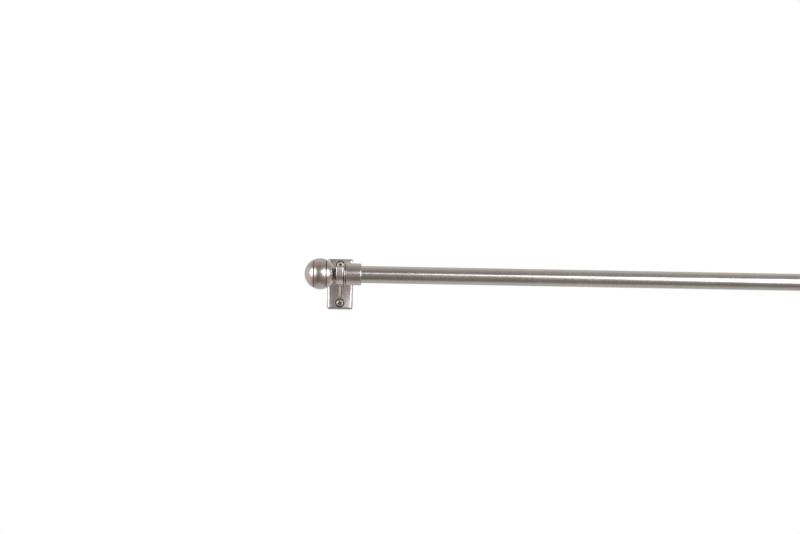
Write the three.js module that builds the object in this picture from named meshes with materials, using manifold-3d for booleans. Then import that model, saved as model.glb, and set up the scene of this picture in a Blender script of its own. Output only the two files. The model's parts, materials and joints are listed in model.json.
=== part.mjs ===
// Curtain rod with brackets: a telescoping rod with ball finials, resting in two wall brackets.
// Millimetres, +Z up. Origin: centre of the left bracket's back face, on the wall.
// +X runs along the rod to the right, +Y into the wall, -Y into the room.
import * as THREE from 'three';
import { mergeVertices } from 'three/addons/utils/BufferGeometryUtils.js';
import Module from 'manifold-3d';

const wasm = await Module();
wasm.setup();

// Layout
const bracketSpacing = 711;      // hook to hook with the rod closed, 28 inches
const projection = 55;           // wall to rod axis
const axisHeight = 10.1;         // rod axis above the plate's centre
const gap = 0.3;                 // between pieces that touch
const roundSides = 28;           // sides of every turned piece on the rod

// Bracket
const plateWidth = 24.8, plateHeight = 48.8, plateThickness = 4.5;
const plateCorner = 2.2, plateBevel = 2.4;
const strapWidth = 7, strapThickness = 2.1;
const lipHeight = 7.1;           // cradle's front lip above the rod axis
const armTop = 1.0;              // arm's upper face above the rod axis
const webThickness = 1.9, webDrop = 21.9;

// Fasteners
const screwHeights = { upper: 18.5, lower: -18 }, screwLength = 32;
const screwHeadRadius = 3.85, screwShankRadius = 2.0, screwHeadDome = 0.9;
const anchorRadius = 3.6, anchorStart = 2.6, anchorEnd = 27;
const studRadius = 3.0, grubRadius = 2.0;

// Finial and end cap, measured along the rod from the hook's middle, inwards positive
const ballRadius = 14.5, ballCentre = -18.2, ballFlat = -6.0;
const ballGrooveOffset = 5.8, ballGrooveWidth = 1.3, ballGrooveDepth = 0.7;
const neckRadius = 6.8;                         // the journal that lies in the cradle
const reliefRadius = 5.2, reliefEnd = -3.9;     // the thinner stretch beside the ball
const collarStart = 4.1, collarEnd = 19.9, collarRadius = 10.25;
const socketStart = 6.6, socketRadius = 8.3;
const grubPlace = 12.5;

// Tubes
const outerTubeRadius = 8.0, innerTubeRadius = 6.35, tubeWall = 0.7;
const innerTubeShown = 12;       // bare inner tube between the mouth ring and the right collar
const innerTubeStart = 32;
const mouthLip = 1.6, mouthDepth = 12;

const nickel = { color: 0xb3a99f, roughness: 0.3, metalness: 1 };
const castNickel = { color: 0xa59b90, roughness: 0.4, metalness: 1 };
const screwSteel = { color: 0xb5b0a8, roughness: 0.35, metalness: 1 };
const blackSteel = { color: 0x3a3836, roughness: 0.5, metalness: 0.9 };
const clearNylon = { color: 0xd9d6cc, roughness: 0.6, metalness: 0 };
const greyPlastic = { color: 0x9a9c9e, roughness: 0.7, metalness: 0 };

function piece(name, geometry, finish) {
  const mesh = new THREE.Mesh(geometry, new THREE.MeshStandardMaterial(finish));
  mesh.name = name;
  return mesh;
}

// ---- Joining and cutting ----

function solidOf(geometry) {
  const plain = geometry.index ? geometry.toNonIndexed() : geometry.clone();
  plain.deleteAttribute('normal');
  plain.deleteAttribute('uv');
  const merged = mergeVertices(plain, 1e-4);
  const corners = merged.index.array;
  const kept = [];
  for (let i = 0; i < corners.length; i += 3) {
    const [a, b, c] = [corners[i], corners[i + 1], corners[i + 2]];
    if (a !== b && b !== c && c !== a) kept.push(a, b, c);
  }
  return new wasm.Manifold(new wasm.Mesh({
    numProp: 3,
    vertProperties: new Float32Array(merged.attributes.position.array),
    triVerts: new Uint32Array(kept),
  }));
}

function geometryOf(solid) {
  const mesh = solid.getMesh();
  const geometry = new THREE.BufferGeometry();
  geometry.setAttribute('position', new THREE.BufferAttribute(new Float32Array(mesh.vertProperties), 3));
  geometry.setIndex(new THREE.BufferAttribute(new Uint32Array(mesh.triVerts), 1));
  geometry.computeVertexNormals();
  return geometry;
}

// ---- Turned pieces: profile points are [along the axis, radius], anticlockwise about the metal ----

function turned(profile, sides = roundSides) {
  const points = profile.map(([along, radius]) => new THREE.Vector2(radius, along));
  const geometry = new THREE.LatheGeometry(points, sides);
  geometry.rotateZ(-Math.PI / 2);
  return geometry;
}

function turnedAlongY(profile, sides) {
  const geometry = turned(profile, sides);
  geometry.rotateZ(Math.PI / 2);
  return geometry;
}

function pin(radius, start, end, sides = 16) {
  return turned([[start, 0], [start, radius], [end, radius], [end, 0]], sides);
}

function sleeve(outerRadius, innerRadius, start, end) {
  return turned([
    [start, innerRadius], [start, outerRadius], [end, outerRadius], [end, innerRadius],
    [start, innerRadius],
  ]);
}

// ---- Wall bracket, a single zinc casting ----

function plateOutline() {
  const x = plateWidth / 2 - plateBevel, z = plateHeight / 2 - plateBevel, r = plateCorner / 2;
  const outline = new THREE.Shape();
  outline.moveTo(-x + r, -z);
  outline.lineTo(x - r, -z).absarc(x - r, -z + r, r, -Math.PI / 2, 0);
  outline.lineTo(x, z - r).absarc(x - r, z - r, r, 0, Math.PI / 2);
  outline.lineTo(-x + r, z).absarc(-x + r, z - r, r, Math.PI / 2, Math.PI);
  outline.lineTo(-x, -z + r).absarc(-x + r, -z + r, r, Math.PI, 1.5 * Math.PI);
  return outline;
}

function plateSolid() {
  const height = plateThickness - plateBevel;
  const geometry = new THREE.ExtrudeGeometry(plateOutline(), {
    depth: 2 * height, bevelThickness: plateBevel, bevelSize: plateBevel, bevelSegments: 3, curveSegments: 4,
  });
  geometry.rotateX(Math.PI / 2);
  geometry.translate(0, height, 0);
  const behindWall = new THREE.BoxGeometry(2 * plateWidth, 2 * plateThickness, 2 * plateHeight);
  behindWall.translate(0, plateThickness, 0);
  return solidOf(geometry).subtract(solidOf(behindWall));
}

// A side view of the strap: down from the front lip, round under the neck, up and back to the wall.
function strapOutline() {
  const inside = neckRadius + gap, outside = inside + strapThickness, tip = strapThickness / 2;
  const outline = new THREE.Shape();
  outline.moveTo(-outside, lipHeight - tip);
  outline.lineTo(-outside, 0);
  outline.absarc(0, 0, outside, Math.PI, 1.5 * Math.PI);
  outline.absarc(0, 0, outside, 1.5 * Math.PI, 2 * Math.PI - 0.14);
  outline.lineTo(projection - plateThickness / 2, armTop - strapThickness);
  outline.lineTo(projection - plateThickness / 2, armTop);
  outline.lineTo(inside + tip, armTop);
  outline.absarc(inside + tip, armTop - tip, tip, Math.PI / 2, Math.PI);
  outline.lineTo(inside, 0);
  outline.absarc(0, 0, inside, 0, -Math.PI, true);
  outline.lineTo(-inside, lipHeight - tip);
  outline.absarc(-inside - tip, lipHeight - tip, tip, 0, Math.PI);
  return outline;
}

// The brace under the arm, deepest at the plate.
function webOutline() {
  const outside = neckRadius + gap + strapThickness, root = projection - plateThickness / 2;
  const outline = new THREE.Shape();
  outline.moveTo(-2, -outside + strapThickness / 2);
  outline.lineTo(-2, -outside - 0.1);
  outline.quadraticCurveTo(root - 14, -outside - 1.5, root, -webDrop);
  outline.lineTo(root, armTop - strapThickness / 2);
  outline.lineTo(outside - strapThickness / 2, armTop - strapThickness / 2);
  outline.absarc(0, 0, outside - strapThickness / 2, 0, -Math.PI / 2, true);
  return outline;
}

// Extrudes a side view, drawn as [out from the rod axis towards the wall, height], across X.
function sideExtrusion(outline, width) {
  const geometry = new THREE.ExtrudeGeometry(outline, { depth: width, bevelEnabled: false, curveSegments: 8 });
  geometry.translate(0, 0, -width / 2);
  geometry.rotateX(Math.PI / 2);
  geometry.rotateZ(Math.PI / 2);
  geometry.translate(0, -projection, axisHeight);
  return solidOf(geometry);
}

function screwHoleSolid(height) {
  const clear = screwShankRadius + gap, rim = screwHeadRadius + gap + 0.1;
  const geometry = turnedAlongY([
    [-plateThickness - 2, 0], [-plateThickness - 2, rim], [-plateThickness, rim],
    [-plateThickness + rim - clear, clear], [2, clear], [2, 0],
  ], 16);
  geometry.translate(0, 0, height);
  return solidOf(geometry);
}

function bracket(name) {
  const body = plateSolid()
    .add(sideExtrusion(strapOutline(), strapWidth))
    .add(sideExtrusion(webOutline(), webThickness))
    .subtract(screwHoleSolid(screwHeights.upper))
    .subtract(screwHoleSolid(screwHeights.lower));
  return piece(name, geometryOf(body), castNickel);
}

// ---- Wall fasteners ----

function crossRecess(size, width, depth) {
  const bars = [0, Math.PI / 2].map((turn) => {
    const bar = new THREE.BoxGeometry(size, 2 * depth, width);
    bar.rotateY(turn);
    return solidOf(bar);
  });
  return bars[0].add(bars[1]);
}

function wallScrew(name, recessTurn) {
  const face = -plateThickness, tip = screwLength - plateThickness;
  const body = solidOf(turnedAlongY([
    [face - screwHeadDome, 0], [face - screwHeadDome, 1.6], [face - 0.55, 2.9], [face, screwHeadRadius],
    [face + screwHeadRadius - screwShankRadius, screwShankRadius],
    [tip - 3.5, screwShankRadius], [tip, 0],
  ], 16));
  const recess = crossRecess(4.1, 1.1, 1.8).rotate([0, recessTurn, 0]).translate([0, face - screwHeadDome, 0]);
  return piece(name, geometryOf(body.subtract(recess)), screwSteel);
}

function wallAnchor(name) {
  const bore = screwShankRadius + gap, ribs = 3, ribPitch = (anchorEnd - anchorStart - 6) / ribs;
  const profile = [[anchorStart, bore], [anchorStart, anchorRadius + 0.5], [anchorStart + 1, anchorRadius + 0.5]];
  for (let i = 0; i < ribs; i++) {
    const start = anchorStart + 2 + i * ribPitch;
    profile.push([start, anchorRadius - 0.5], [start + ribPitch * 0.8, anchorRadius]);
  }
  profile.push([anchorEnd, anchorRadius - 0.8], [anchorEnd, bore], [anchorStart, bore]);
  return piece(name, turnedAlongY(profile, 12), greyPlastic);
}

// Screws and anchors of one bracket; screw heads stop at different turns.
function wallFixings(side, recessTurns) {
  const fixings = new THREE.Group();
  Object.entries(screwHeights).forEach(([place, height], i) => {
    const pair = [
      wallScrew(`wall_screw_${side}_${place}`, recessTurns[i]),
      wallAnchor(`wall_anchor_${side}_${place}`),
    ];
    pair.forEach((mesh) => mesh.position.setZ(height));
    fixings.add(...pair);
  });
  return fixings;
}

// ---- Rod end: finial, stud, end cap and its grub screw ----

function ballGeometry() {
  const edge = Math.sqrt(ballRadius ** 2 - (ballFlat - ballCentre) ** 2);
  const steps = 15, first = Math.PI, last = Math.atan2(edge, ballFlat - ballCentre);
  const angles = Array.from({ length: steps + 1 }, (_, i) => first + (last - first) * i / steps);
  const halfWidth = ballGrooveWidth / 2;
  const grooves = [-ballGrooveOffset, ballGrooveOffset];
  const onBall = (offset) => [ballCentre + offset, Math.sqrt(ballRadius ** 2 - offset ** 2)];
  const arc = angles.map((a) => [ballCentre + ballRadius * Math.cos(a), ballRadius * Math.sin(a)])
    .filter(([along]) => grooves.every((g) => Math.abs(along - ballCentre - g) > halfWidth + 0.2));
  for (const g of grooves) {
    const [along, radius] = onBall(g);
    arc.push(onBall(g - halfWidth), [along, radius - ballGrooveDepth], onBall(g + halfWidth));
  }
  arc.sort((a, b) => a[0] - b[0]);
  arc[0][1] = 0;
  const holeRadius = studRadius + gap, holeEnd = ballFlat - 10;
  return turned([...arc, [ballFlat, holeRadius], [holeEnd, holeRadius], [holeEnd, 0]]);
}

function endCapGeometry() {
  const start = ballFlat + gap, bore = studRadius + gap, round = 1.4;
  const rightCorner = [0, 1, 2, 3].map((i) => {
    const a = Math.PI / 2 * (1 - i / 3);
    return [collarEnd - round + round * Math.cos(a), collarRadius - round + round * Math.sin(a)];
  });
  const body = solidOf(turned([
    [start, bore], [start, reliefRadius], [reliefEnd, reliefRadius], [reliefEnd, neckRadius],
    [collarStart, neckRadius],
    [collarStart, collarRadius - 0.6], [collarStart + 0.35, collarRadius - 0.15],
    [collarStart + 0.9, collarRadius - 0.15], [collarStart + 1.2, collarRadius - 0.8],
    [collarStart + 1.9, collarRadius - 0.8], [collarStart + 2.2, collarRadius],
    ...rightCorner,
    [collarEnd, socketRadius], [socketStart, socketRadius], [socketStart, bore], [start, bore],
  ]));
  const grubHole = solidOf(pin(grubRadius + gap, socketRadius - 2, collarRadius + 2));
  return geometryOf(body.subtract(grubHole.rotate([0, 90, 0]).translate([grubPlace, 0, 0])));
}

function grubScrewGeometry() {
  const socket = solidOf(new THREE.CylinderGeometry(1.15, 1.15, 2.4, 6)).rotate([0, 0, 90]);
  const outer = collarRadius - 0.1;
  const body = solidOf(pin(grubRadius, outerTubeRadius + gap, outer)).subtract(socket.translate([outer, 0, 0]));
  return geometryOf(body.rotate([0, 90, 0]).translate([grubPlace, 0, 0]));
}

function rodEnd(side) {
  const end = new THREE.Group();
  end.add(
    piece(`ball_${side}`, ballGeometry(), nickel),
    piece(`ball_stud_${side}`, pin(studRadius, ballFlat - 10 + gap, socketStart - 0.4, 20), screwSteel),
    piece(`end_cap_${side}`, endCapGeometry(), nickel),
    piece(`set_screw_${side}`, grubScrewGeometry(), blackSteel),
  );
  return end;
}

// ---- Telescoping tubes, along X from the left hook's middle ----

const tubeInset = socketStart + gap;
const innerTubeEnd = bracketSpacing - tubeInset;
const mouth = bracketSpacing - collarEnd - innerTubeShown - mouthLip;
const outerBore = outerTubeRadius - tubeWall, innerBore = innerTubeRadius - tubeWall;

function outerTube() {
  return piece('outer_tube', sleeve(outerTubeRadius, outerBore, tubeInset, mouth - gap), nickel);
}

function innerTube() {
  return piece('inner_tube', sleeve(innerTubeRadius, innerBore, innerTubeStart, innerTubeEnd), nickel);
}

// Stops the inner tube rattling in the outer tube's mouth.
function mouthRing() {
  const bore = innerTubeRadius + gap, spigot = outerBore - gap, lip = outerTubeRadius - 0.2;
  return piece('tube_mouth_ring', turned([
    [mouth - mouthDepth, bore], [mouth - mouthDepth, spigot], [mouth, spigot], [mouth, lip],
    [mouth + mouthLip - 0.5, lip], [mouth + mouthLip, lip - 0.5], [mouth + mouthLip, bore],
    [mouth - mouthDepth, bore],
  ]), clearNylon);
}

// Plugs the inner tube's hidden end and runs in the outer tube.
function slideBush() {
  const flange = innerTubeStart - gap, plug = innerBore - gap, bore = 3;
  return piece('slide_bush', turned([
    [flange - 6, bore], [flange - 6, outerBore - gap], [flange, outerBore - gap], [flange, plug],
    [flange + 14, plug], [flange + 14, bore], [flange - 6, bore],
  ]), clearNylon);
}

// Fills the right end cap's socket round the thinner inner tube.
function reducerBush() {
  const start = bracketSpacing - collarEnd, outer = socketRadius - gap;
  return piece('reducer_bush', sleeve(outer, innerTubeRadius + gap, start, innerTubeEnd), clearNylon);
}

// ---- Assembly ----

const curtainRod = new THREE.Group();

const rod = new THREE.Group();
rod.position.set(0, -projection, axisHeight);
const rightEnd = rodEnd('right');
rightEnd.position.setX(bracketSpacing);
rightEnd.rotation.z = Math.PI;
rod.add(outerTube(), mouthRing(), slideBush(), innerTube(), reducerBush(), rodEnd('left'), rightEnd);

const leftSupport = new THREE.Group();
leftSupport.add(bracket('bracket_left'), wallFixings('left', [45, 20]));
const rightSupport = new THREE.Group();
rightSupport.position.setX(bracketSpacing);
rightSupport.add(bracket('bracket_right'), wallFixings('right', [10, 65]));

curtainRod.add(rod, leftSupport, rightSupport);

export default curtainRod;
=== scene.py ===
import json
import math

import bmesh
import bpy
import numpy as np
from mathutils import Matrix, Vector


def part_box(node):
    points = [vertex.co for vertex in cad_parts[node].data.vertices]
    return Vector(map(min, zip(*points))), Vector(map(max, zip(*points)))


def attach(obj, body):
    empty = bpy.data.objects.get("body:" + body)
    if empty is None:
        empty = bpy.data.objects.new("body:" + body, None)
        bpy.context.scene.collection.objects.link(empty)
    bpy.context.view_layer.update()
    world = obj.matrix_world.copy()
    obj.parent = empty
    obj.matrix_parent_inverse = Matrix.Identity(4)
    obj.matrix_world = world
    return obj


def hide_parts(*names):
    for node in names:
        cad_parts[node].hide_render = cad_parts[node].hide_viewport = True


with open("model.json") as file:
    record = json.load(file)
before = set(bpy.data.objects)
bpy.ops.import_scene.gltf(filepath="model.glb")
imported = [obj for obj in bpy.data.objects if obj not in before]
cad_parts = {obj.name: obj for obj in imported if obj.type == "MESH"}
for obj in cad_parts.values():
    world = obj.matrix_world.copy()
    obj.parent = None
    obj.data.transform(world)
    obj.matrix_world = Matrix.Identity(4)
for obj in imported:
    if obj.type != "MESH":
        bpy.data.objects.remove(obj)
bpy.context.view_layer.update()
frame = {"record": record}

print("frame loaded")

# Lengths in this script are millimetres, and become metres where a mesh is made.
metre = 0.001
bodyOf = {node: body for body, nodes in frame["record"]["behaviour"]["bodies"].items() for node in nodes}


def boxOf(node):
    low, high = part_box(node)
    return np.array(low) / metre, np.array(high) / metre


tubeLow, tubeHigh = boxOf("outer_tube")
axisY, axisZ = (tubeLow + tubeHigh)[1:] / 2
hookX = {side: sum(boxOf("bracket_" + side))[0] / 2 for side in ("left", "right")}
inward = {"left": 1, "right": -1}      # the way from each hook towards the middle of the rod


class Wire:
    # wraps one output socket, so that shader maths reads as an expression
    def __init__(self, tree, socket=None):
        self.tree, self.socket = tree, socket

    def feed(self, socket, value):
        if isinstance(value, Wire):
            self.tree.links.new(value.socket, socket)
        else:
            socket.default_value = value

    def node(self, kind, settings=None, values=None, out=0):
        made = self.tree.nodes.new("ShaderNode" + kind)
        for key, setting in (settings or {}).items():
            setattr(made, key, setting)
        for key, value in (values or {}).items():
            self.feed(made.inputs[key], value)
        return Wire(self.tree, made.outputs[out])

    def math(self, operation, *values):
        return self.node("Math", {"operation": operation}, dict(enumerate(values)))

    def __add__(self, other):
        return self.math("ADD", self, other)

    def __sub__(self, other):
        return self.math("SUBTRACT", self, other)

    def __rsub__(self, other):
        return self.math("SUBTRACT", other, self)

    def __mul__(self, other):
        return self.math("MULTIPLY", self, other)

    __radd__, __rmul__ = __add__, __mul__

    def smooth(self, low, high, start=0.0, end=1.0):
        return self.node("MapRange", {"interpolation_type": "SMOOTHSTEP"},
                         {"Value": self, "From Min": low, "From Max": high, "To Min": start, "To Max": end})

    def blend(self, first, second):
        # a colour between two, by this value
        return self.node("Mix", {"data_type": "RGBA"}, {0: self, 6: first, 7: second}, out=2)


# A new material: what it is, its shader, a wire to build on, and the place on the object.
def newFinish(name, **constants):
    material = bpy.data.materials.new(name)
    material.use_nodes = True
    shader = material.node_tree.nodes["Principled BSDF"]
    wire = Wire(material.node_tree)
    for socket, value in constants.items():
        shader.inputs[socket.replace("_", " ")].default_value = value
    place = wire.node("TexCoord", out="Object")
    return material, shader, wire, place


def stretched(wire, place, scale):
    return wire.node("VectorMath", {"operation": "MULTIPLY"}, {0: place, 1: scale})


def noise(wire, place, scale, detail=3.0, rough=0.5):
    values = {"Vector": place, "Scale": scale, "Detail": detail, "Roughness": rough}
    return wire.node("TexNoise", None, values)


def bumped(wire, shader, strength, depth, height):
    values = {"Strength": strength, "Distance": depth * metre, "Height": height}
    wire.feed(shader.inputs["Normal"], wire.node("Bump", None, values))


def shade(colour, factor=1.0):
    return (colour[0] * factor, colour[1] * factor, colour[2] * factor, 1.0)


# What place() stored on the mesh as painted light and wear: painted shade, up to 1 deep in a groove, recess
# or shaded spot, 0 on open surfaces, below 0 on sharp edges, which are lighter where worn or as a painted
# highlight.
def paintedLightAndWearOf(wire):
    return wire.node("Attribute", {"attribute_name": "paintedLightAndWear"}, out="Fac")


# Plated metal turned or buffed round the rod's axis: fine rings, softer patches where it was handled,
# and painted shade, brown, in the grooves and recesses.
def buffedNickel(name, look):
    material, shader, wire, place = newFinish(name, Metallic=1.0)
    rings = noise(wire, stretched(wire, place, look["ringStretch"]), 1.0, 4.0, 0.65)
    patches = noise(wire, place, look["patchScale"], 3.0)
    grain = noise(wire, place, look["grainScale"], 2.0)
    # painted shade in grooves and recesses, from the stored values
    deep = paintedLightAndWearOf(wire).smooth(0.08, 0.7)
    tone = patches.smooth(0.3, 0.7).blend(shade(look["colour"], 0.9), shade(look["colour"], 1.03))
    tone = (rings * 0.5 + grain * 0.5).smooth(0.3, 0.75).blend(tone, shade(look["colour"], 1.12))
    wire.feed(shader.inputs["Base Color"], deep.blend(tone, shade(look["shadow"])))
    rough = look["roughness"] + (patches - 0.5) * 0.12 + (rings - 0.5) * 0.12 + deep * 0.25
    wire.feed(shader.inputs["Roughness"], rough)
    bumped(wire, shader, look["bump"], 0.1, rings * 0.5 + grain)
    return material


# Plated zinc casting: mottled and faintly pitted, with painted shade, brown, in its corners, and lighter
# along its edges where worn and as a painted highlight down the web's front.
def castNickel(name, look):
    material, shader, wire, place = newFinish(name, Metallic=1.0)
    mottle = noise(wire, place, look["mottleScale"], 4.0, 0.6)
    cloud = noise(wire, place, look["cloudScale"], 2.0)
    pits = wire.node("TexVoronoi", None, {"Vector": place, "Scale": look["pitScale"]})
    paintedLightAndWear = paintedLightAndWearOf(wire)
    tone = mottle.smooth(0.3, 0.7).blend(shade(look["dull"]), shade(look["bright"]))
    tone = cloud.smooth(0.45, 0.75).blend(tone, shade(look["stain"]))
    # painted shade in corners and recesses
    tone = paintedLightAndWear.smooth(0.1, 0.75).blend(tone, shade(look["cornerShade"]))
    # lighter on worn edges, and a painted highlight down the web's front
    tone = paintedLightAndWear.smooth(-0.15, -0.7).blend(tone, shade(look["edge"]))
    wire.feed(shader.inputs["Base Color"], tone)
    rough = look["roughness"] + (mottle - 0.5) * -0.2 + (cloud - 0.5) * 0.12 + paintedLightAndWear.smooth(0.1, 0.75) * 0.15
    wire.feed(shader.inputs["Roughness"], rough)
    height = mottle + pits.smooth(0.0, 0.2) * 0.12 + cloud * 0.6
    bumped(wire, shader, look["bump"], 0.3, height)
    return material


# Moulded plastic with a faint flow pattern, painted shade in its corners and flutes, scuffed on its edges.
def mouldedPlastic(name, look):
    material, shader, wire, place = newFinish(name, Subsurface_Weight=look["glow"], IOR=1.5)
    shader.inputs["Subsurface Scale"].default_value = metre
    flow = noise(wire, place, look["flowScale"], 3.0)
    speck = noise(wire, place, look["speckScale"], 2.0)
    paintedLightAndWear = paintedLightAndWearOf(wire)
    tone = flow.smooth(0.3, 0.7).blend(shade(look["colour"], 0.92), shade(look["colour"], 1.06))
    # painted shade in corners and flutes
    tone = paintedLightAndWear.smooth(0.1, 0.8).blend(tone, shade(look["colour"], 0.6))
    wire.feed(shader.inputs["Base Color"], paintedLightAndWear.smooth(-0.1, -0.7).blend(tone, shade(look["colour"], 1.12)))
    wire.feed(shader.inputs["Roughness"], look["roughness"] + (speck - 0.5) * 0.15)
    bumped(wire, shader, look["bump"], 0.1, speck + flow)
    return material


# Fasteners: bright on the raised parts, with painted shade in the drive recess, round the head's rim and in
# the thread roots.
def fastenerMetal(name, look):
    material, shader, wire, place = newFinish(name)
    fine = noise(wire, place, look["fineScale"], 3.0)
    patch = noise(wire, place, look["patchScale"], 2.0)
    # painted shade in the drive recess, round the rim and in the thread roots
    deep = paintedLightAndWearOf(wire).smooth(0.05, look["fullShadow"])
    tone = patch.smooth(0.3, 0.7).blend(shade(look["colour"], 0.88), shade(look["colour"], 1.08))
    wire.feed(shader.inputs["Base Color"], deep.blend(tone, shade(look["shadow"])))
    wire.feed(shader.inputs["Metallic"], 1 - deep * 0.3)
    wire.feed(shader.inputs["Roughness"], look["roughness"] + (fine - 0.5) * 0.2 + deep * 0.3)
    bumped(wire, shader, look["bump"], 0.1, fine)
    return material


turnedLook = {"colour": (0.60, 0.555, 0.525), "shadow": (0.17, 0.12, 0.095), "roughness": 0.3, "bump": 0.02,
              "ringStretch": (5200.0, 90.0, 90.0), "patchScale": 110.0, "grainScale": 1600.0}
tubeLook = {"colour": (0.61, 0.58, 0.56), "shadow": (0.16, 0.13, 0.11), "roughness": 0.24, "bump": 0.012,
            "ringStretch": (2600.0, 40.0, 40.0), "patchScale": 30.0, "grainScale": 900.0}
# cornerShade is the colour of the painted shade; edge is for worn edges and the web's painted highlight
castLook = {"dull": (0.62, 0.59, 0.58), "bright": (0.77, 0.745, 0.735), "stain": (0.48, 0.425, 0.39),
            "cornerShade": (0.13, 0.095, 0.075), "edge": (0.97, 0.95, 0.93), "roughness": 0.3, "bump": 0.06,
            "mottleScale": 260.0, "cloudScale": 90.0, "pitScale": 1100.0}
nylonLook = {"colour": (0.78, 0.765, 0.71), "roughness": 0.45, "glow": 0.3, "bump": 0.15,
             "flowScale": 260.0, "speckScale": 2600.0}
plugLook = {**nylonLook, "colour": (0.50, 0.51, 0.52), "roughness": 0.5, "glow": 0.05}
screwLook = {"colour": (0.50, 0.46, 0.43), "shadow": (0.05, 0.03, 0.02), "roughness": 0.46, "bump": 0.12,
             "fullShadow": 0.5, "fineScale": 2200.0, "patchScale": 500.0}
blackLook = {**screwLook, "colour": (0.055, 0.052, 0.05), "shadow": (0.012, 0.012, 0.012),
             "roughness": 0.42, "fullShadow": 0.6}


# Rounds off each corner of an outline; a corner is (along, radius, fillet).
def softened(corners, closed, steps=4):
    points, count = [], len(corners)
    for i, (along, radius, fillet) in enumerate(corners):
        cornerShade = np.array([along, radius], float)
        if fillet == 0 or (not closed and i in (0, count - 1)):
            points.append(cornerShade)
            continue
        before = np.array(corners[i - 1][:2], float) - cornerShade
        after = np.array(corners[(i + 1) % count][:2], float) - cornerShade
        longest = 0.48 * min(np.linalg.norm(before), np.linalg.norm(after))
        before, after = before / np.linalg.norm(before), after / np.linalg.norm(after)
        half = math.acos(np.clip(before @ after, -1, 1)) / 2
        reach = min(fillet / math.tan(half), longest)
        centre = cornerShade + (before + after) / np.linalg.norm(before + after) * reach / math.cos(half)
        start, end = cornerShade + before * reach - centre, cornerShade + after * reach - centre
        turn = math.pi - 2 * half
        for k in range(steps + 1):
            share = k / steps
            mix = math.sin((1 - share) * turn) * start + math.sin(share * turn) * end
            points.append(centre + mix / math.sin(turn))
    return np.array(points)


# Turns an outline of (along, radius) points round a line along X; relief(angle, along, radius) lowers
# the surface.
def turned(outline, sides, closed=False, relief=None):
    angles = np.arange(sides) * 2 * math.pi / sides
    points, rings = [], []
    for along, radius in outline:
        if radius < 1e-6:
            rings.append([len(points)] * sides)
            points.append((along, 0.0, 0.0))
            continue
        rings.append(list(range(len(points), len(points) + sides)))
        for angle in angles:
            r = radius - (relief(angle, along, radius) if relief else 0.0)
            points.append((along, r * math.cos(angle), r * math.sin(angle)))
    faces = []
    pairs = zip(rings, rings[1:] + (rings[:1] if closed else []))
    for one, two in pairs:
        for i in range(sides):
            j = (i + 1) % sides
            face = list(dict.fromkeys([one[i], one[j], two[j], two[i]]))
            if len(face) > 2:
                faces.append(face)
    return np.array(points), faces


# More points along an outline's straight stretches, for a relief that changes along them.
def finely(outline, step=0.8):
    fine = []
    for one, two in zip(outline, np.roll(outline, -1, 0)):
        count = max(1, int(np.linalg.norm(two - one) / step))
        fine += [one + (two - one) * k / count for k in range(count)]
    return np.array(fine)


# Wraps a closed skin round the region where field(points) < 0: one vertex in each cell that the surface
# crosses, drawn onto the surface along the field's slope.
def wrapped(field, low, high, step):
    lines = [np.arange(a - 2 * step, b + 3 * step, step) for a, b in zip(low, high)]
    depth = field(np.stack(np.meshgrid(*lines, indexing="ij"), -1))
    cells = [len(line) - 1 for line in lines]
    total, count = np.zeros(cells + [3]), np.zeros(cells)
    crossings = []
    for k in range(3):
        u, v = (k + 1) % 3, (k + 2) % 3
        first, second = np.take(depth, range(cells[k]), k), np.take(depth, range(1, cells[k] + 1), k)
        crossed = (first < 0) != (second < 0)
        crossings.append((crossed, first < 0))
        share = np.where(crossed, first / np.where(crossed, first - second, 1), 0)
        for du in (0, 1):
            for dv in (0, 1):
                part = [slice(None)] * 3
                part[u], part[v] = slice(du, du + cells[u]), slice(dv, dv + cells[v])
                here = crossed[tuple(part)]
                count += here
                for axis, line in enumerate(lines):
                    shift = {u: du, v: dv}.get(axis, 0)
                    shape = [1, 1, 1]
                    shape[axis] = cells[axis]
                    at = line[shift:shift + cells[axis]].reshape(shape)
                    total[..., axis] += here * (at + (share[tuple(part)] * step if axis == k else 0))
    used = count > 0
    index = np.full(cells, -1)
    index[used] = np.arange(used.sum())
    points = total[used] / count[used][:, None]
    faces = []
    for k, (crossed, startsInside) in enumerate(crossings):
        u, v = (k + 1) % 3, (k + 2) % 3
        spot = np.argwhere(crossed)
        spot = spot[(spot[:, u] > 0) & (spot[:, v] > 0) & (spot[:, u] < cells[u]) & (spot[:, v] < cells[v])]
        corners = []
        for du, dv in ((1, 1), (0, 1), (0, 0), (1, 0)):
            cell = spot.copy()
            cell[:, u] -= du
            cell[:, v] -= dv
            corners.append(index[tuple(cell.T)])
        quads = np.stack(corners, 1)
        flip = ~startsInside[tuple(spot.T)]
        quads[flip] = quads[flip][:, ::-1]
        faces.append(quads)
    for _ in range(4):
        slope = fieldSlope(field, points, slopeReach)
        pull = field(points)[:, None] * slope / np.maximum((slope ** 2).sum(1, keepdims=True), 0.25)
        points = points - np.clip(pull, -0.4 * step, 0.4 * step)
    return points, np.concatenate(faces).tolist()


# How far to either side a field is read for its slope, and for a smoother normal.
slopeReach, normalReach = 0.05, 0.08


def fieldSlope(field, points, reach):
    steps = np.eye(3) * reach
    return np.stack([field(points + s) - field(points - s) for s in steps], 1) / (2 * reach)


def unitSlope(field, points, reach):
    slope = fieldSlope(field, points, reach)
    return slope / np.maximum(np.linalg.norm(slope, axis=1, keepdims=True), 1e-9)


# How far each point of a wrapped skin lies in a corner: the field rises slowly there, and sinks slowly
# under an edge.
def cornerOf(field, points, reach):
    slope = unitSlope(field, points, slopeReach)
    here = field(points)
    rise = (field(points + slope * reach) - here) / reach
    sink = (here - field(points - slope * reach)) / reach
    return np.clip(1 - rise, 0, 1) - np.clip(1 - sink, 0, 1)


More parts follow.
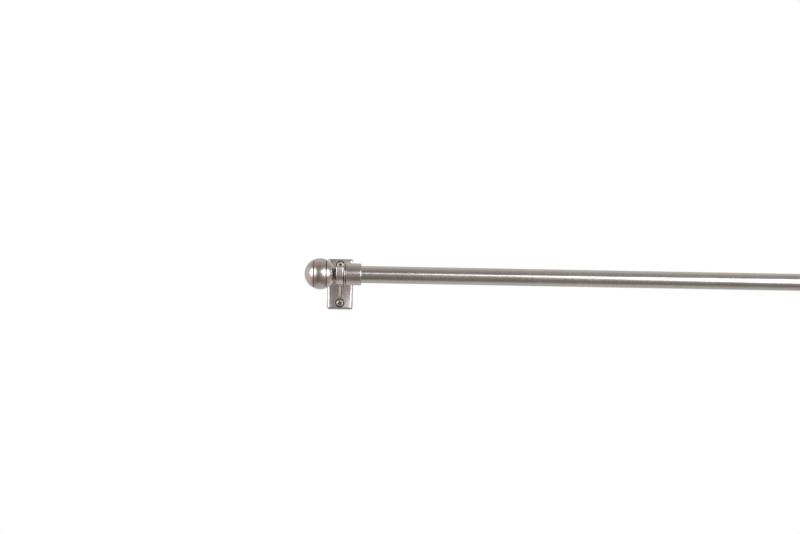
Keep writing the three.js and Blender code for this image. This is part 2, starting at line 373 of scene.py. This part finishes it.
# Makes the object in place of its CAD node; normals come from the field where there is one.
def place(name, node, points, faces, finish, field=None, paintedLightAndWear=None):
    mesh = bpy.data.meshes.new(name)
    mesh.from_pydata((np.asarray(points) * metre).tolist(), [], faces)
    work = bmesh.new()
    work.from_mesh(mesh)
    bmesh.ops.recalc_face_normals(work, faces=work.faces)
    work.to_mesh(mesh)
    work.free()
    mesh.polygons.foreach_set("use_smooth", [True] * len(mesh.polygons))
    mesh.materials.append(finish)
    if paintedLightAndWear is not None:
        mesh.attributes.new("paintedLightAndWear", "FLOAT", "POINT").data.foreach_set("value", np.asarray(paintedLightAndWear, float))
    if field:
        normals = unitSlope(field, np.asarray(points), normalReach)
        mesh.normals_split_custom_set_from_vertices(normals.tolist())
    made = bpy.data.objects.new(name, mesh)
    bpy.context.scene.collection.objects.link(made)
    if not field:
        weighted = made.modifiers.new("evenNormals", "WEIGHTED_NORMAL")
        weighted.weight = 80
    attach(made, bodyOf[node])
    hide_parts(node)


# From a turned shape's own line to the rod's axis, mirrored on the right.
def onRod(points, side="left", start=0.0):
    sign = inward[side]
    return points * (sign, 1, 1) + (start, axisY, axisZ)


# Signed distances for the castings and screws: below 0 inside, joined with soft corners of size k.
def softMax(a, b, k):
    mix = np.clip(0.5 - 0.5 * (b - a) / k, 0, 1)
    return b * (1 - mix) + a * mix + k * mix * (1 - mix)


def softMin(a, b, k):
    return -softMax(-a, -b, k)


def roundedBoth(a, b, edge):
    # both distances must be inside; their shared edge is rounded off
    outside = np.hypot(np.maximum(a + edge, 0), np.maximum(b + edge, 0))
    return outside + np.minimum(np.maximum(a, b) + edge, 0) - edge


def toSegment(y, z, start, end):
    along = np.array(end, float) - start
    share = np.clip(((y - start[0]) * along[0] + (z - start[1]) * along[1]) / (along @ along), 0, 1)
    return np.hypot(y - start[0] - share * along[0], z - start[1] - share * along[1])


plateLow, plateHigh = boxOf("bracket_left")
bracketSizes = {
    "plate": 4.5, "plateCorner": 2.4, "plateEdge": 2.4, "backEdge": 0.3, "crown": 0.4, "footCrown": 1.2,
    "strap": 2.1, "strapWide": 7.0, "strapEdge": 0.75, "lip": 7.1, "lean": 0.5, "cradle": 7.1,
    "armTop": 1.0, "armBlend": 0.6, "armFillet": 1.2, "rootFillet": 0.25, "ribFillet": 0.6,
    "web": 1.25, "webDrop": 24.3, "webSlope": 1.15, "webEdge": 0.2, "webTuck": 0.12, "webFall": 0.06,
    "webBend": 2.0, "webDraft": 0.015, "filletFade": 3.0,
    "holeHeights": (18.5, -18.0), "hole": 2.3, "sink": 4.45, "sinkEdge": 0.25, "sinkRoom": 3.0,
    "wave": 0.02, "step": 0.42, "cornerReach": 0.9,
}


def bracketField(points):
    s = bracketSizes
    x, y, z = points[..., 0], points[..., 1], points[..., 2]
    wide, tall = (plateHigh - plateLow)[0] / 2, (plateHigh - plateLow)[2] / 2
    qx, qz = np.abs(x) - wide + s["plateCorner"], np.abs(z) - tall + s["plateCorner"]
    rim = np.hypot(np.maximum(qx, 0), np.maximum(qz, 0)) - s["plateCorner"]
    rim = rim + np.minimum(np.maximum(qx, qz), 0)
    crown = s["crown"] + s["footCrown"] * np.clip(-z / tall, 0, 1)
    front = s["plate"] - crown * (x / wide) ** 2
    plate = softMax(roundedBoth(rim, -y - front, s["plateEdge"]), y, s["backEdge"])
    across, up = y - axisY, z - axisZ          # from the rod's axis towards the wall, and up
    tip = np.where(across < 0, np.clip(up, 0, None) / s["lip"], 0)
    across = across - s["lean"] * tip ** 2     # the lip leans back a little
    middle = s["cradle"] + s["strap"] / 2
    radial = np.hypot(across, up)
    curve = np.where(up < 0, np.abs(radial - middle), 99.0)
    hook = toSegment(across, up, (-middle, 0), (-middle, s["lip"] - s["strap"] / 2))
    level = s["armTop"] - s["strap"] / 2
    arm = toSegment(across, up, (middle, level), (-axisY, level))
    side = softMin(np.minimum(curve, hook), arm, s["armBlend"]) - s["strap"] / 2
    strap = roundedBoth(side, np.abs(x) - s["strapWide"] / 2, s["strapEdge"])
    root = -axisY - s["plate"] / 2
    outside = s["cradle"] + s["strap"]
    shallow = s["webTuck"] - outside - s["webFall"] * across
    steep = (root - across) * s["webSlope"] - s["webDrop"]
    lower = softMin(shallow, steep, s["webBend"])
    brace = np.maximum((lower - up) * 0.7, up - level)      # eased, as the web's edge runs at a slant
    brace = np.maximum(np.maximum(brace, middle - radial), -across)
    half = s["web"] / 2 + s["webDraft"] * np.maximum(up + s["webDrop"], 0)
    web = roundedBoth(brace, np.abs(x) - half, s["webEdge"])
    nearArm = np.clip((up + outside) / s["filletFade"] + 1, 0, 1)
    fillet = s["rootFillet"] + (s["armFillet"] - s["rootFillet"]) * nearArm
    body = softMin(softMin(strap, web, s["ribFillet"]), plate, fillet)
    for height in s["holeHeights"]:
        fromAxis = np.hypot(x, z - height)
        shaft = s["hole"] - fromAxis
        cone = (s["sink"] - fromAxis - np.maximum(y + s["plate"], 0)) * 0.72      # eased, as it slants
        outward = y + s["plate"] + s["sinkRoom"]      # above 0 from the wall to just in front of the plate
        body = softMax(body, np.minimum(np.minimum(shaft, cone), outward), s["sinkEdge"])
        body = np.maximum(body, np.where(outward > -0.5, shaft, -9))
    wave = np.sin(x * 0.9 + 1.3 * np.sin(z * 0.5)) * np.sin(z * 0.7 + np.cos(y * 0.4)) * s["wave"]
    return np.maximum(body + wave, y)


castNickelFinish = castNickel("castNickel", castLook)
bracketPoints, bracketFaces = wrapped(bracketField, plateLow, plateHigh, bracketSizes["step"])

# Painted shade, brown, in the corners, round the screws, beside the web and in a patch to its left; edges
# lighter where worn, and a painted highlight down the web's front edge. Places are from the plate's middle,
# and out of its front.
paintedLightSizes = {
    "ring": 0.15, "ringFade": 0.4, "ringDark": 0.9, "ringOut": 0.6,
    "lineAt": 1.15, "lineFrom": 0.7, "lineFade": 0.5, "lineGain": 1.6, "lineRise": 5.0, "lineDark": 0.7,
    "lineStart": 1.8, "patchAcross": -4.5, "patchUp": -7, "patchWide": 5.5, "patchTall": 9,
    "patchGain": 1.2, "patchDark": 0.22, "onPlate": 1.2,
    "sheenHalf": 0.8, "sheenLow": 0.1, "sheenHigh": 15, "sheenTop": 1, "sheen": 0.8, "sheenEnd": 14, "sheenFade": 4,
}


def paintedBracketLightAndWear(points):
    s, p = bracketSizes, paintedLightSizes
    across, out, up = points[:, 0], -s["plate"] - points[:, 1], points[:, 2]
    # painted shade in corners, lighter on worn edges
    shadeAndWear = cornerOf(bracketField, points, s["cornerReach"])
    for height in s["holeHeights"]:
        fromHole = np.hypot(across, up - height)
        # painted shade round each countersink
        ring = np.clip((s["sink"] + p["ring"] - fromHole) / p["ringFade"], 0, p["ringDark"])
        shadeAndWear = np.maximum(shadeAndWear, np.where(out < p["ringOut"], ring, 0))
    onPlate = np.abs(out) < p["onPlate"]
    # painted shadow along the web's side, and painted shade in a patch left of it under the hook
    alongWeb = (up > axisZ - s["webDrop"] + p["lineStart"]) & (up < 0) & (across > p["lineFrom"])
    line = np.clip(p["lineGain"] - np.abs(across - p["lineAt"]) / p["lineFade"], 0, 1)
    line = line * np.clip(-up / p["lineRise"], 0, p["lineDark"])
    line = np.where(alongWeb & onPlate, line, 0)
    away = np.hypot((across - p["patchAcross"]) / p["patchWide"], (up - p["patchUp"]) / p["patchTall"])
    patch = np.where(onPlate, np.clip(p["patchGain"] - away, 0, p["patchDark"]), 0)
    shadeAndWear = np.maximum(shadeAndWear, np.maximum(patch, line))
    # painted highlight down the web's front
    onWeb = (np.abs(across) < p["sheenHalf"]) & (out > p["sheenLow"]) & (out < p["sheenHigh"]) & (up < p["sheenTop"])
    webSheen = -p["sheen"] * np.clip((p["sheenEnd"] - out) / p["sheenFade"], 0, 1)
    webSheen = webSheen * np.clip((p["sheenTop"] - up) / 2, 0, 1)
    return np.where(onWeb, np.minimum(shadeAndWear, webSheen), shadeAndWear)


bracketLightAndWear = paintedBracketLightAndWear(bracketPoints)
for side in hookX:
    shift = np.array([hookX[side], 0, 0])
    place("bracket" + side.title(), "bracket_" + side, bracketPoints + shift, bracketFaces, castNickelFinish,
          lambda p, shift=shift: bracketField(p - shift), bracketLightAndWear)
print("brackets made,", len(bracketFaces), "faces each")

screwHigh = boxOf("wall_screw_left_upper")[1]
screwSizes = {
    "head": 3.7, "face": -4.5, "dome": 0.9, "edge": 0.35, "under": 0.9, "shank": 1.95, "root": 1.3,
    "pitch": 1.8, "crest": 0.17, "threadStart": -0.6, "neck": 1.2, "point": 5.0,
    "recess": 2.05, "recessDeep": 2.0, "recessDraft": 0.45, "arm": 0.5, "armDraft": 0.12,
    "heart": 1.15, "heartDraft": 0.35, "step": 0.17, "cornerReach": 0.7,
    "rimWide": 0.7, "rimFade": 0.5, "rimDark": 0.6,
}


# Distance to a cross-shaped drive recess; across and up are in the head's plane, deep runs into it.
def crossRecess(across, up, deep, s):
    out = np.hypot(across, up)
    narrow = np.minimum(np.abs(across), np.abs(up)) - s["arm"] + s["armDraft"] * deep
    floor = deep - s["recessDeep"] * np.clip(1.15 - out / s["recess"], 0, 1) ** 0.7      # rises outwards
    arms = np.maximum(np.maximum(narrow, out - s["recess"] + s["recessDraft"] * deep), floor)
    heart = np.maximum(out - s["heart"] + s["heartDraft"] * deep, deep - s["recessDeep"])
    return softMin(arms, heart, 0.15)


def screwField(points, turn):
    s = screwSizes
    x, y, z = points[..., 0], points[..., 1], points[..., 2]
    out, top = np.hypot(x, z), s["face"] - s["dome"]
    ball = (s["head"] ** 2 + s["dome"] ** 2) / (2 * s["dome"])
    dome = np.sqrt(out ** 2 + (y - top - ball) ** 2) - ball
    cone = (out - s["head"] + np.maximum(y - s["face"], 0)) * 0.75
    head = softMax(dome, cone, s["edge"])
    across = x * math.cos(turn) + z * math.sin(turn)
    up = z * math.cos(turn) - x * math.sin(turn)
    head = softMax(head, -crossRecess(across, up, y - top - out ** 2 / (2 * ball), s), 0.12)
    phase = (y / s["pitch"] - np.arctan2(z, x) / (2 * math.pi)) % 1 - 0.5
    start = np.clip((y - s["threadStart"]) / s["pitch"], 0, 1)
    taper = np.clip((screwHigh[1] - y) / s["point"], 0, 1) ** 0.8
    thread = (s["shank"] - s["root"]) * np.exp(-(phase / s["crest"]) ** 2)
    radius = np.where(start > 0, (s["root"] + thread * start) * taper, s["root"])
    neck = np.clip((s["threadStart"] - y) / s["neck"] + 1, 0, 1)
    radius = radius + (s["shank"] - s["root"]) * neck * (1 - start)
    shank = np.maximum(np.maximum((out - radius) * 0.7, y - screwHigh[1]), s["face"] + s["under"] - y)
    return softMin(head, shank, 0.2)


screwSteel = fastenerMetal("screwSteel", screwLook)
recessTurns = {"left_upper": 45, "left_lower": 20, "right_upper": 10, "right_lower": 65}
for spot, degrees in recessTurns.items():
    low, high = boxOf("wall_screw_" + spot)
    shift = np.array([(low + high)[0] / 2, 0, (low + high)[2] / 2])
    field = lambda p, shift=shift, turn=math.radians(degrees): screwField(p - shift, turn)
    points, faces = wrapped(field, low, high, screwSizes["step"])
    corners = cornerOf(field, points, screwSizes["cornerReach"])
    # painted shade round the head's rim, where it meets the countersink
    fromRim = np.hypot(*(points - shift)[:, [0, 2]].T) - screwSizes["head"] + screwSizes["rimWide"]
    rim = np.clip(fromRim / screwSizes["rimFade"], 0, screwSizes["rimDark"])
    name = "wallScrew" + spot.title().replace("_", "")
    place(name, "wall_screw_" + spot, points, faces, screwSteel, field,
          np.maximum(corners, rim))
print("wall screws made,", len(faces), "faces each")

anchorSizes = {
    "radius": 3.6, "flange": 0.5, "flangeDeep": 1.0, "taper": 0.05, "taperStart": 14, "bore": 2.3,
    "boreEnd": 1.5, "boreNarrows": 8, "ribPitch": 2.6, "ribDeep": 0.55, "slit": 0.8, "slitStart": 9.0,
    "fins": 0.9, "finFade": 0.4, "edge": 0.2, "step": 0.3, "cornerReach": 0.7,
}


def anchorField(points, low, high):
    s = anchorSizes
    x, y, z = points[..., 0], points[..., 1], points[..., 2]
    out, deep = np.hypot(x, z), y - low
    tooth = (deep % s["ribPitch"]) / s["ribPitch"]
    offFins = np.clip((np.abs(x) - s["fins"]) / s["finFade"], 0, 1)      # the ribs stop at two smooth fins
    radius = s["radius"] - s["ribDeep"] * (1 - tooth) * offFins
    radius = radius - s["taper"] * np.maximum(deep - s["taperStart"], 0)
    skin = np.where(deep < s["flangeDeep"], s["radius"] + s["flange"], radius)
    body = np.maximum((out - skin) * 0.8, np.maximum(low - y, y - high))
    narrowing = np.clip((deep - s["boreNarrows"]) / (high - low - s["boreNarrows"]), 0, 1)
    bore = s["bore"] - (s["bore"] - s["boreEnd"]) * narrowing
    slit = np.maximum(np.abs(z) - s["slit"] / 2, low + s["slitStart"] - y)
    return softMax(softMax(body, bore - out, s["edge"]), -slit, s["edge"])


plugPlastic = mouldedPlastic("plugPlastic", plugLook)
for spot in recessTurns:
    low, high = boxOf("wall_anchor_" + spot)
    shift = np.array([(low + high)[0] / 2, 0, (low + high)[2] / 2])
    field = lambda p, shift=shift, ends=(low[1], high[1]): anchorField(p - shift, *ends)
    points, faces = wrapped(field, low, high, anchorSizes["step"])
    name = "wallAnchor" + spot.title().replace("_", "")
    # painted shade in the anchor's corners, lighter on its scuffed edges
    place(name, "wall_anchor_" + spot, points, faces, plugPlastic, field,
          cornerOf(field, points, anchorSizes["cornerReach"]))
print("wall anchors made,", len(faces), "faces each")

turnedNickel = buffedNickel("turnedNickel", turnedLook)
ballLow, ballHigh = boxOf("ball_left")
ballSizes = {
    "radius": (ballHigh - ballLow)[2] / 2, "grooves": (-5.8, 5.8), "grooveWide": 1.15, "grooveDeep": 0.85,
    "grooveShade": 1.3, "studHole": 3.3, "holeDeep": 10.0, "sides": 128, "outlineSteps": 180,
}
capLow, capHigh = boxOf("end_cap_left")
capSizes = {
    "relief": 5.2, "reliefEnd": -3.9, "neck": 6.8, "bore": 3.3, "socket": 8.3, "socketStart": 6.6,
    "collarStart": 4.1, "bead": 0.9, "groove": 0.6, "grooveDeep": 0.75, "brim": 1.5,
    "grubHole": 2.3, "grubAt": 12.5, "pitFloor": 0.35, "pitWall": 0.35, "pitDark": 0.8,
    "sides": 224, "step": 0.3,
}


def ballOutline():
    s, centre = ballSizes, ballLow[0] + ballSizes["radius"]
    flat = ballHigh[0] - centre
    edge = math.sqrt(s["radius"] ** 2 - flat ** 2)
    points = []
    for angle in np.linspace(math.pi, math.atan2(edge, flat), s["outlineSteps"]):
        along, radius = s["radius"] * math.cos(angle), s["radius"] * math.sin(angle)
        for groove in s["grooves"]:
            near = abs(along - groove) / (s["grooveWide"] / 2)
            radius -= s["grooveDeep"] * max(0.0, 1 - near)
        points.append((along + centre, max(radius, 0)))
    points[0] = (points[0][0], 0.0)
    face, bottom = flat + centre, flat + centre - s["holeDeep"]
    rim = softened([(*points[-1], 0), (face, edge - 0.01, 0), (face, s["studHole"], 0.4),
                    (bottom, s["studHole"], 0.3), (bottom, 0, 0)], closed=False)
    return np.array(points[:-1] + [tuple(p) for p in rim])


def capOutline():
    s = capSizes
    start, end, radius = capLow[0], capHigh[0], (capHigh - capLow)[2] / 2
    bead, groove = s["collarStart"] + s["bead"], s["collarStart"] + s["bead"] + s["groove"]
    return softened([
        (start, s["bore"], 0.3), (start, s["relief"], 0.3), (s["reliefEnd"], s["relief"], 0.2),
        (s["reliefEnd"], s["neck"], 0.35), (s["collarStart"], s["neck"], 0.3),
        (s["collarStart"], radius - 0.1, 0.5), (bead, radius - 0.1, 0.45),
        (bead + 0.1, radius - s["grooveDeep"], 0.2), (groove, radius - s["grooveDeep"], 0.2),
        (groove + 0.15, radius, 0.35), (end, radius, s["brim"]), (end, s["socket"], 0.4),
        (s["socketStart"], s["socket"], 0.4), (s["socketStart"], s["bore"], 0.3),
    ], closed=True)


# Painted shade in the ball's grooves, by their depth.
def ballPaintedShade(points):
    centre = ballLow[0] + ballSizes["radius"]
    out = np.linalg.norm(points - (centre, 0, 0), axis=1)
    inGroove = np.abs(np.abs(points[:, 0] - centre) - ballSizes["grooves"][1]) < ballSizes["grooveWide"]
    sunk = (ballSizes["radius"] - out) / ballSizes["grooveDeep"]
    return np.where(inGroove, sunk * ballSizes["grooveShade"], 0)


# How far the collar sinks at the grub screw's hole, which points down.
def grubPit(angle, along, radius):
    s = capSizes
    out = math.hypot(along - s["grubAt"], radius * math.cos(angle))
    if math.sin(angle) > 0 or radius < s["socket"] + 0.6 or out > s["grubHole"]:
        return 0.0
    return (radius - s["socket"] - s["pitFloor"]) * min(1.0, (s["grubHole"] - out) / s["pitWall"])


# Painted shade in the collar's groove and the grub screw's pit, and darker towards the neck, which the ball
# and hook shade.
def capPaintedShade(points):
    s = capSizes
    out, radius = np.hypot(points[:, 1], points[:, 2]), (capHigh - capLow)[2] / 2
    inGroove = (points[:, 0] < s["collarStart"] + s["bead"] + s["groove"] + 0.3) & (out > s["neck"])
    inPit = (np.hypot(points[:, 0] - s["grubAt"], points[:, 1]) < s["grubHole"]) & (points[:, 2] < 0)
    inPit = inPit & (out > s["socket"] + 0.1) & (out < radius - 0.25)
    rest = np.where(inPit, s["pitDark"], np.clip((9 - out) / 3, 0, 0.6))      # darker towards the neck
    return np.where(inGroove, (radius - 0.25 - out) / s["grooveDeep"], rest)


for side in hookX:
    points, faces = turned(ballOutline(), ballSizes["sides"])
    place("ball" + side.title(), "ball_" + side, onRod(points, side, hookX[side]), faces, turnedNickel,
          paintedLightAndWear=ballPaintedShade(points))
    outline = finely(capOutline(), capSizes["step"])
    points, faces = turned(outline, capSizes["sides"], closed=True, relief=grubPit)
    place("endCap" + side.title(), "end_cap_" + side, onRod(points, side, hookX[side]), faces, turnedNickel,
          paintedLightAndWear=capPaintedShade(points))
print("balls and end caps made")

studSizes = {"pitch": 1.0, "depth": 0.55, "chamfer": 0.6, "steep": 1.2, "crest": 0.05, "shade": 0.5,
             "rings": 12, "sides": 56}


# A V thread: 0 at the crest, growing to its depth at the root.
def threadDepth(angle, along, radius):
    s = studSizes
    phase = abs((along / s["pitch"] - angle / (2 * math.pi)) % 1 - 0.5) * 2
    return s["depth"] * min(max((1 - phase) * s["steep"] - s["crest"], 0), 1)


for side in hookX:
    node = "ball_stud_" + side
    low, high = boxOf(node)
    start, end = sorted(inward[side] * (np.array([low[0], high[0]]) - hookX[side]))
    radius, cut = (high - low)[2] / 2, studSizes["chamfer"]
    length = np.linspace(start + cut, end - cut, int((end - start) * studSizes["rings"]))
    outline = [(start, 0), (start, radius - cut)] + [(along, radius) for along in length]
    outline += [(end, radius - cut), (end, 0)]
    relief = lambda a, along, r: threadDepth(a, along, r) if r > radius - cut / 2 else 0.0
    points, faces = turned(outline, studSizes["sides"], relief=relief)
    # painted shade in the thread roots, by their depth
    sunk = (radius - np.hypot(points[:, 1], points[:, 2])) / studSizes["depth"]
    inside = (points[:, 0] > start + cut / 2) & (points[:, 0] < end - cut / 2)
    place("ballStud" + side.title(), node, onRod(points, side, hookX[side]), faces, screwSteel,
          paintedLightAndWear=np.where(inside, sunk * studSizes["shade"], 0))

grubSizes = {"radius": 1.97, "socket": 1.0, "socketDeep": 1.1, "pitch": 0.5, "thread": 0.22, "edge": 0.2,
             "socketEdge": 0.08, "step": 0.085, "cornerReach": 0.3}


def grubField(points, low, high):
    s = grubSizes
    x, y, z = points[..., 0], points[..., 1], points[..., 2]
    out, turn = np.hypot(x, y), np.arctan2(y, x)
    phase = np.abs((z / s["pitch"] - turn / (2 * math.pi)) % 1 - 0.5) * 2
    ends = np.maximum(low - z, z - high)
    body = softMax((out - s["radius"] + s["thread"] * (1 - phase)) * 0.8, ends, s["edge"])
    flat = np.max([np.abs(x * math.cos(a) + y * math.sin(a)) for a in np.arange(3) * math.pi / 3], axis=0)
    socket = np.maximum(flat - s["socket"], z - low - s["socketDeep"])
    return softMax(body, -socket, s["socketEdge"])


blackSteel = fastenerMetal("blackSteel", blackLook)
for side in hookX:
    low, high = boxOf("set_screw_" + side)
    shift = np.array([(low + high)[0] / 2, (low + high)[1] / 2, 0])
    field = lambda p, shift=shift, ends=(low[2], high[2]): grubField(p - shift, *ends)
    points, faces = wrapped(field, low, high, grubSizes["step"])
    # painted shade in the hex socket and thread roots
    place("setScrew" + side.title(), "set_screw_" + side, points, faces, blackSteel, field,
          cornerOf(field, points, grubSizes["cornerReach"]))
print("studs and grub screws made")

tubeNickel = buffedNickel("tubeNickel", tubeLook)
tubeSizes = {"wall": 0.7, "endRound": 0.3, "seamAngle": math.radians(-48), "seamWide": 0.35,
             "seamDeep": 0.22, "sides": 128}


# The strip's two edges meet in a fine closed seam, turned to the wall and down.
def seam(angle, along, radius):
    s = tubeSizes
    away = math.remainder(angle - s["seamAngle"], 2 * math.pi) * radius
    return s["seamDeep"] * math.exp(-(away / s["seamWide"]) ** 2)


def tubeOutline(node):
    low, high = boxOf(node)
    outer = (high - low)[2] / 2
    inner, soft = outer - tubeSizes["wall"], tubeSizes["endRound"]
    return softened([(low[0], inner, soft), (low[0], outer, soft), (high[0], outer, soft),
                     (high[0], inner, soft)], closed=True, steps=3)


for name, node in (("outerTube", "outer_tube"), ("innerTube", "inner_tube")):
    points, faces = turned(tubeOutline(node), tubeSizes["sides"], closed=True, relief=seam)
    # painted shade along the seam, by its depth
    place(name, node, onRod(points), faces, tubeNickel,
          paintedLightAndWear=[seam(math.atan2(z, y), x, math.hypot(y, z)) / tubeSizes["seamDeep"] for x, y, z in points])
print("tubes made")

clearNylon = mouldedPlastic("clearNylon", nylonLook)
nylonSides = 96
nylonSizes = {
    "tube_mouth_ring": {"bore": 6.65, "spigot": 7.0, "lip": 1.6, "soft": 0.45, "ribs": 6, "ribDeep": 0.12},
    "slide_bush": {"bore": 3.0, "plug": 5.35, "flange": 6.0, "soft": 0.4, "ribs": 12, "ribDeep": 0.35},
    "reducer_bush": {"bore": 6.65, "soft": 0.35, "ribs": 16, "ribDeep": 0.2},
}


# Shallow flutes along a bush, which let it be pressed in.
def flutes(s, fluted):
    def depth(angle, along, radius):
        return s["ribDeep"] * max(0.0, math.cos(angle * s["ribs"])) ** 3 if fluted(along, radius) else 0.0
    return depth


def nylonPiece(name, node, corners, fluted):
    s = nylonSizes[node]
    relief = flutes(s, fluted)
    outline = finely(softened(corners, closed=True))
    points, faces = turned(outline, nylonSides, closed=True, relief=relief)
    # painted shade in the flutes, by their depth
    sunk = [relief(math.atan2(z, y), x, math.hypot(y, z)) / s["ribDeep"] for x, y, z in points]
    place(name, node, onRod(points), faces, clearNylon, paintedLightAndWear=sunk)


low, high = boxOf("tube_mouth_ring")
s = nylonSizes["tube_mouth_ring"]
step, rim, soft = high[0] - s["lip"], (high - low)[2] / 2, s["soft"]
nylonPiece("tubeMouthRing", "tube_mouth_ring", [
    (low[0], s["bore"], 0.1), (low[0], s["spigot"], 0.1), (step, s["spigot"], 0.1), (step, rim, 0.2),
    (high[0], rim, soft), (high[0], s["bore"], 0.15),
], lambda along, radius: along < step - 0.5 and radius > s["spigot"] - 0.05)

low, high = boxOf("slide_bush")
s = nylonSizes["slide_bush"]
flangeEnd, rim, soft = low[0] + s["flange"], (high - low)[2] / 2, s["soft"]
nylonPiece("slideBush", "slide_bush", [
    (low[0], s["bore"], soft), (low[0], rim, soft), (flangeEnd, rim, soft), (flangeEnd, s["plug"], 0.2),
    (high[0], s["plug"], soft), (high[0], s["bore"], soft),
], lambda along, radius: radius > s["plug"] - 0.6 and along > flangeEnd + 0.8)

low, high = boxOf("reducer_bush")
s = nylonSizes["reducer_bush"]
rim, soft = (high - low)[2] / 2, s["soft"]
nylonPiece("reducerBush", "reducer_bush", [
    (low[0], s["bore"], soft), (low[0], rim, soft), (high[0], rim, soft), (high[0], s["bore"], soft),
], lambda along, radius: radius > s["bore"] + 0.8)
print("nylon pieces made")

cameraSizes = {"lens": 63.1, "sensor": 36.0, "distance": 1301.0, "aside": 13.0, "above": 7.6,
               "yaw": 1.88, "roll": 1.05}
camera = bpy.data.objects.new("camera", bpy.data.cameras.new("camera"))
camera.data.lens, camera.data.sensor_width = cameraSizes["lens"], cameraSizes["sensor"]
camera.data.clip_start, camera.data.clip_end = 0.05, 50
camera.data.dof.use_dof = False
camera.matrix_world = (
    Matrix.Translation(metre * Vector((hookX["left"] + cameraSizes["aside"], axisY - cameraSizes["distance"],
                                       axisZ + cameraSizes["above"])))
    @ Matrix.Rotation(math.radians(-cameraSizes["yaw"]), 4, "Z")
    @ Matrix.Rotation(math.radians(90), 4, "X")
    @ Matrix.Rotation(math.radians(cameraSizes["roll"]), 4, "Z")
)
bpy.context.scene.collection.objects.link(camera)
bpy.context.scene.camera = camera
bpy.context.scene.view_settings.view_transform = "Standard"


# Each light's azimuth from straight in front of the left hook towards +X and its elevation in degrees,
# its distance, width and height in metres, and its power in watts.
softboxes = {
    "rightSoftbox": (47, 9, 1.7, 2.0, 1.7, 13),
    "rightDiffuser": (46, 11, 1.65, 1.6, 0.9, 8),
    "leftSoftbox": (-53, 9, 1.7, 1.65, 1.9, 13),
    "leftDiffuser": (-53, 11, 1.65, 1.25, 0.9, 6),
    "frontStrip": (16.5, 18, 1.6, 0.95, 0.26, 1.75),
}
softboxColour = (0.95, 0.96, 1.0)
for name, (azimuth, elevation, distance, width, height, power) in softboxes.items():
    light = bpy.data.lights.new(name, "AREA")
    light.shape, light.size, light.size_y = "ELLIPSE", width, height
    light.energy, light.color = power, softboxColour
    made = bpy.data.objects.new(name, light)
    a, e = math.radians(azimuth), math.radians(elevation)
    direction = Vector((math.sin(a) * math.cos(e), -math.cos(a) * math.cos(e), math.sin(e)))
    made.location = Vector((hookX["left"], axisY, axisZ)) * metre + direction * distance
    made.rotation_euler = direction.to_track_quat("Z", "Y").to_euler()
    bpy.context.scene.collection.objects.link(made)

world = bpy.data.worlds.new("studio")
bpy.context.scene.world = world
world.use_nodes = True
air = Wire(world.node_tree)
background = world.node_tree.nodes["Background"]
split = air.node("SeparateXYZ", None, {0: air.node("TexCoord", out="Generated")})
toRight, behind, up = (Wire(air.tree, socket) for socket in split.socket.node.outputs)
# The studio's brightness by direction: each entry fades in between two values of the direction's part to
# the right, behind or up, and gives how much it adds.
studioGlow = {
    "behind": (-0.3, 0.9, 0.46), "farLeft": (-0.72, -0.98, 0.3), "ahead": (0.84, 1.0, 0.12),
    "above": (0.72, 0.98, 0.18), "below": (-0.89, -0.99, 0.24), "lowLeft": (-0.5, -0.85, 0.22),
    "lowRight": (0.4, 0.78, 0.2), "lowSides": (-0.25, -0.5, 1.0), "dimLeft": (0.1, -0.04, 0.075),
    "dimFront": (-0.2, -0.5, 1.0),
}
evenGlow, diffuseDrop = 0.26, 0.4
aheadWay = {"right": 0.26, "behind": -0.966}      # the middle of the brighter area in front
lowWarm, highWarm, nearWhite, white = (1, 0.84, 0.75, 1), (1, 0.91, 0.85, 1), (1, 0.99, 0.98, 1), (1, 1, 1, 1)


def fadeIn(part, key):
    low, high, amount = studioGlow[key]
    return part.smooth(low, high, 0.0, amount)


lowSides = (fadeIn(toRight, "lowLeft") + fadeIn(toRight, "lowRight")) * fadeIn(up, "lowSides")
ahead = toRight * aheadWay["right"] + behind * aheadWay["behind"]
glow = fadeIn(behind, "behind") + fadeIn(toRight, "farLeft") + fadeIn(ahead, "ahead") + evenGlow
glow = glow + fadeIn(up, "above") + fadeIn(up, "below") + lowSides
glow = glow - fadeIn(toRight, "dimLeft") * fadeIn(behind, "dimFront")
warm = up.smooth(-0.6, 0.3).blend(lowWarm, highWarm)
bright = behind.smooth(0.1, 0.8) + up.smooth(-0.84, -0.98)
tint = bright.blend(warm, nearWhite)
# Seen straight the studio is plain white; a diffuse surface sees it plain too, and dimmer.
scattered = air.node("LightPath", out="Is Diffuse Ray")
plain = air.node("LightPath", out="Is Camera Ray") + scattered
air.feed(background.inputs["Color"], plain.blend(tint, white))
air.feed(background.inputs["Strength"], glow * (1 - plain) + plain - scattered * diffuseDrop)

floorSizes = {"drop": 1150.0, "half": 3000.0, "cloudScale": 1.5, "low": 0.80, "high": 0.84, "roughness": 0.8}
floorMesh = bpy.data.meshes.new("floor")
half = floorSizes["half"] * metre
floorMesh.from_pydata([(-half, -half, 0), (half, -half, 0), (half, half, 0), (-half, half, 0)], [],
                      [(0, 1, 2, 3)])
floor = bpy.data.objects.new("floor", floorMesh)
floor.location.z = -floorSizes["drop"] * metre
floor.visible_glossy = False
bpy.context.scene.collection.objects.link(floor)
floorPaint, floorShader, floorWire, floorPlace = newFinish("floorPaint", Roughness=floorSizes["roughness"])
floorCloud = noise(floorWire, floorPlace, floorSizes["cloudScale"]).smooth(0.2, 0.8)
floorTone = floorCloud.blend(shade((1, 1, 1), floorSizes["low"]), shade((1, 1, 1), floorSizes["high"]))
floorWire.feed(floorShader.inputs["Base Color"], floorTone)
floorMesh.materials.append(floorPaint)
print("studio made")
